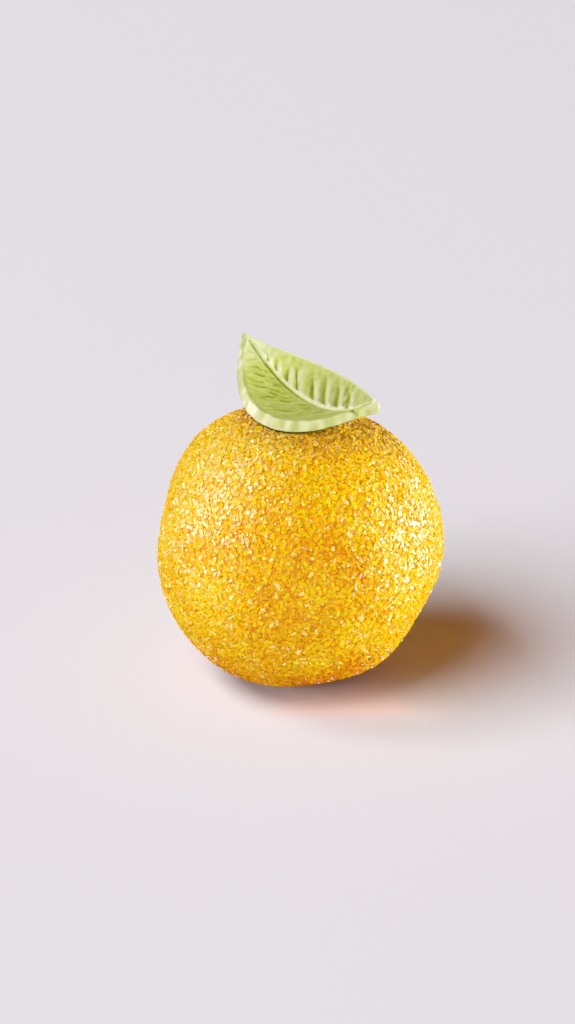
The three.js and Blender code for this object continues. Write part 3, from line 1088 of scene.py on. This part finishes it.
def sweep_surface():
    """A square grid, flat out to the flat radius, then rising with the square of the way past it."""
    side = np.linspace(-SWEEP_HALF, SWEEP_HALF, SWEEP_POINTS)
    x, y = np.meshgrid(side, side, indexing="ij")
    past = np.maximum(np.hypot(x, y) - FLAT_RADIUS, 0) / (SWEEP_HALF - FLAT_RADIUS)
    points = np.stack([x, y, SWEEP_HEIGHT * past**2], -1).reshape(-1, 3)
    number = np.arange(SWEEP_POINTS**2).reshape(SWEEP_POINTS, SWEEP_POINTS)
    quads = np.stack([number[:-1, :-1], number[1:, :-1], number[1:, 1:], number[:-1, 1:]], -1)
    return points, quads.ravel(), np.full(quads.size // 4, 4)


def matt_pale_card():
    """Pale lilac grey card, matt, without any sheen."""
    material, tree, surface = new_material("matt_pale_card")
    shader = add_node(
        tree,
        "ShaderNodeBsdfPrincipled",
        {"Base Color": linear(CARD_GREY), "Roughness": 0.7, "Specular IOR Level": 0.0},
    )
    tree.links.new(shader.outputs["BSDF"], surface)
    return material


floor = add_piece("floor", *sweep_surface(), matt_pale_card())
floor.visible_glossy = False
floor.visible_shadow = False

# %% [markdown]
# ## The lights
# One set of lights for all would have to choose between the sweet's colour, its glints and the floor's tone,
# so each has its own. On the sweet: a broad key high on the left, a glow from the low right, and fills in
# front and behind, which only shade it. Three more only glint on facets, in pale lilac as a bright room
# would, so that their strength can be set without washing out the yellow. On the floor: a wide far window,
# which gives it one even tone and casts the ball's soft shadow, a low one that reaches in under the ball,
# and three small glows that warm the shadow, because sugar passes some light on.

# %% Light on the sweet
def hang_light(name, shape, place, target, width, height, watts, colour, lit):
    """An area light at a place, turned to a target, that lights one collection only."""
    data = bpy.data.lights.new(name, "AREA")
    data.shape = shape
    data.size = width * MM
    data.size_y = height * MM
    data.energy = watts
    data.color = linear(colour)[:3]
    light = bpy.data.objects.new(name, data)
    light.location = place * MM
    light.rotation_euler = Vector(target - place).to_track_quat("-Z", "Y").to_euler()
    light.visible_camera = False
    light.light_linking.receiver_collection = lit
    bpy.context.scene.collection.objects.link(light)
    return light


sweet = bpy.data.collections.new("sweet")
ground = bpy.data.collections.new("ground")
for piece in bpy.context.scene.objects:
    if piece.type == "MESH":
        (ground if piece is floor else sweet).objects.link(piece)

# Each light: azimuth and elevation in degrees, distance, width and height in mm, watts, what it feeds
SWEET_LIGHTS = {
    "key": (195, 46, 1500, 1500, 850, 20.5, "shade"),
    "key_glint": (166, 47, 1500, 1000, 850, 22.0, "glint"),
    "right_glow": (8, 6, 600, 560, 300, 4.8, "shade"),
    "right_glint": (12, 2, 600, 520, 340, 8.5, "glint"),
    "left_glint": (180, 14, 600, 560, 300, 7.2, "glint"),
    "front_fill": (276, 20, 700, 700, 700, 2.8, "shade"),
    "back_fill": (84, 12, 700, 700, 500, 3.2, "shade"),
}
LIGHT_COLOURS = {"shade": "#ffffff", "glint": "#dcc0ff"}
for name, (azimuth, elevation, distance, width, height, watts, feeds) in SWEET_LIGHTS.items():
    place = BALL_CENTRE + distance * way(azimuth, elevation)
    colour = LIGHT_COLOURS[feeds]
    light = hang_light(name, "RECTANGLE", place, BALL_CENTRE, width, height, watts, colour, sweet)
    light.visible_glossy = feeds == "glint"
    light.visible_diffuse = feeds == "shade"
print(len(SWEET_LIGHTS), "lights on the sweet")

# %% Light on the floor
UNDER_BALL = (0.0, 0.0, 0.0)
AMBER = "#ff8c00"
# Each light: shape, place and target in mm, width and height in mm, watts, colour
FLOOR_LIGHTS = {
    "floor_window": ("RECTANGLE", 6000 * way(208, 53), UNDER_BALL, 6400, 2600, 700.0, "#fcfeff"),
    "floor_low": ("RECTANGLE", 3000 * way(203, 13), UNDER_BALL, 2000, 900, 150.0, "#ffffff"),
    "side_glow": ("DISK", (17.5, 6.5, 10.0), (17.5, 6.5, 0.0), 20, 20, 0.00050, AMBER),
    "front_glow": ("RECTANGLE", (4.5, -10.0, 2.5), (4.5, -5.0, 0.0), 14, 2, 0.00012, AMBER),
    "front_soft": ("RECTANGLE", (6.0, -11.5, 4.0), (6.0, -5.0, 0.0), 16, 3, 0.00022, "#ffe6d0"),
}
for name, (shape, place, target, width, height, watts, colour) in FLOOR_LIGHTS.items():
    hang_light(name, shape, np.array(place), np.array(target), width, height, watts, colour, ground)
print(len(FLOOR_LIGHTS), "lights on the floor")

# %% [markdown]
# ## The surroundings
# A dim room fills the shadows: dark below, a paler band at the horizon and grey above. One even grey would
# flatten the ball. Glossy faces don't see it, because the glinting lights stand in for it there.

# %% Surroundings
SKY_GREYS = [(0.47, "#2a2420"), (0.5, "#7d787c"), (0.62, "#454246"), (1.0, "#454246")]
SKY_STRENGTH = 0.25

world = bpy.data.worlds.new("surroundings")
bpy.context.scene.world = world
world.use_nodes = True
tree = world.node_tree
view_way = add_node(tree, "ShaderNodeTexCoord").outputs["Generated"]
upward = add_node(tree, "ShaderNodeSeparateXYZ", {"Vector": view_way}).outputs["Z"]
sky_level = add_node(tree, "ShaderNodeMapRange", {"Value": upward, "From Min": -1.0, "From Max": 1.0})
sky = add_node(tree, "ShaderNodeValToRGB", {"Fac": sky_level.outputs["Result"]})
set_ramp(sky, SKY_GREYS)
tree.nodes["Background"].inputs["Strength"].default_value = SKY_STRENGTH
tree.links.new(sky.outputs["Color"], tree.nodes["Background"].inputs["Color"])
world.cycles_visibility.glossy = False
bpy.context.scene.view_settings.view_transform = "Standard"
print("surroundings have", len(tree.nodes), "nodes")
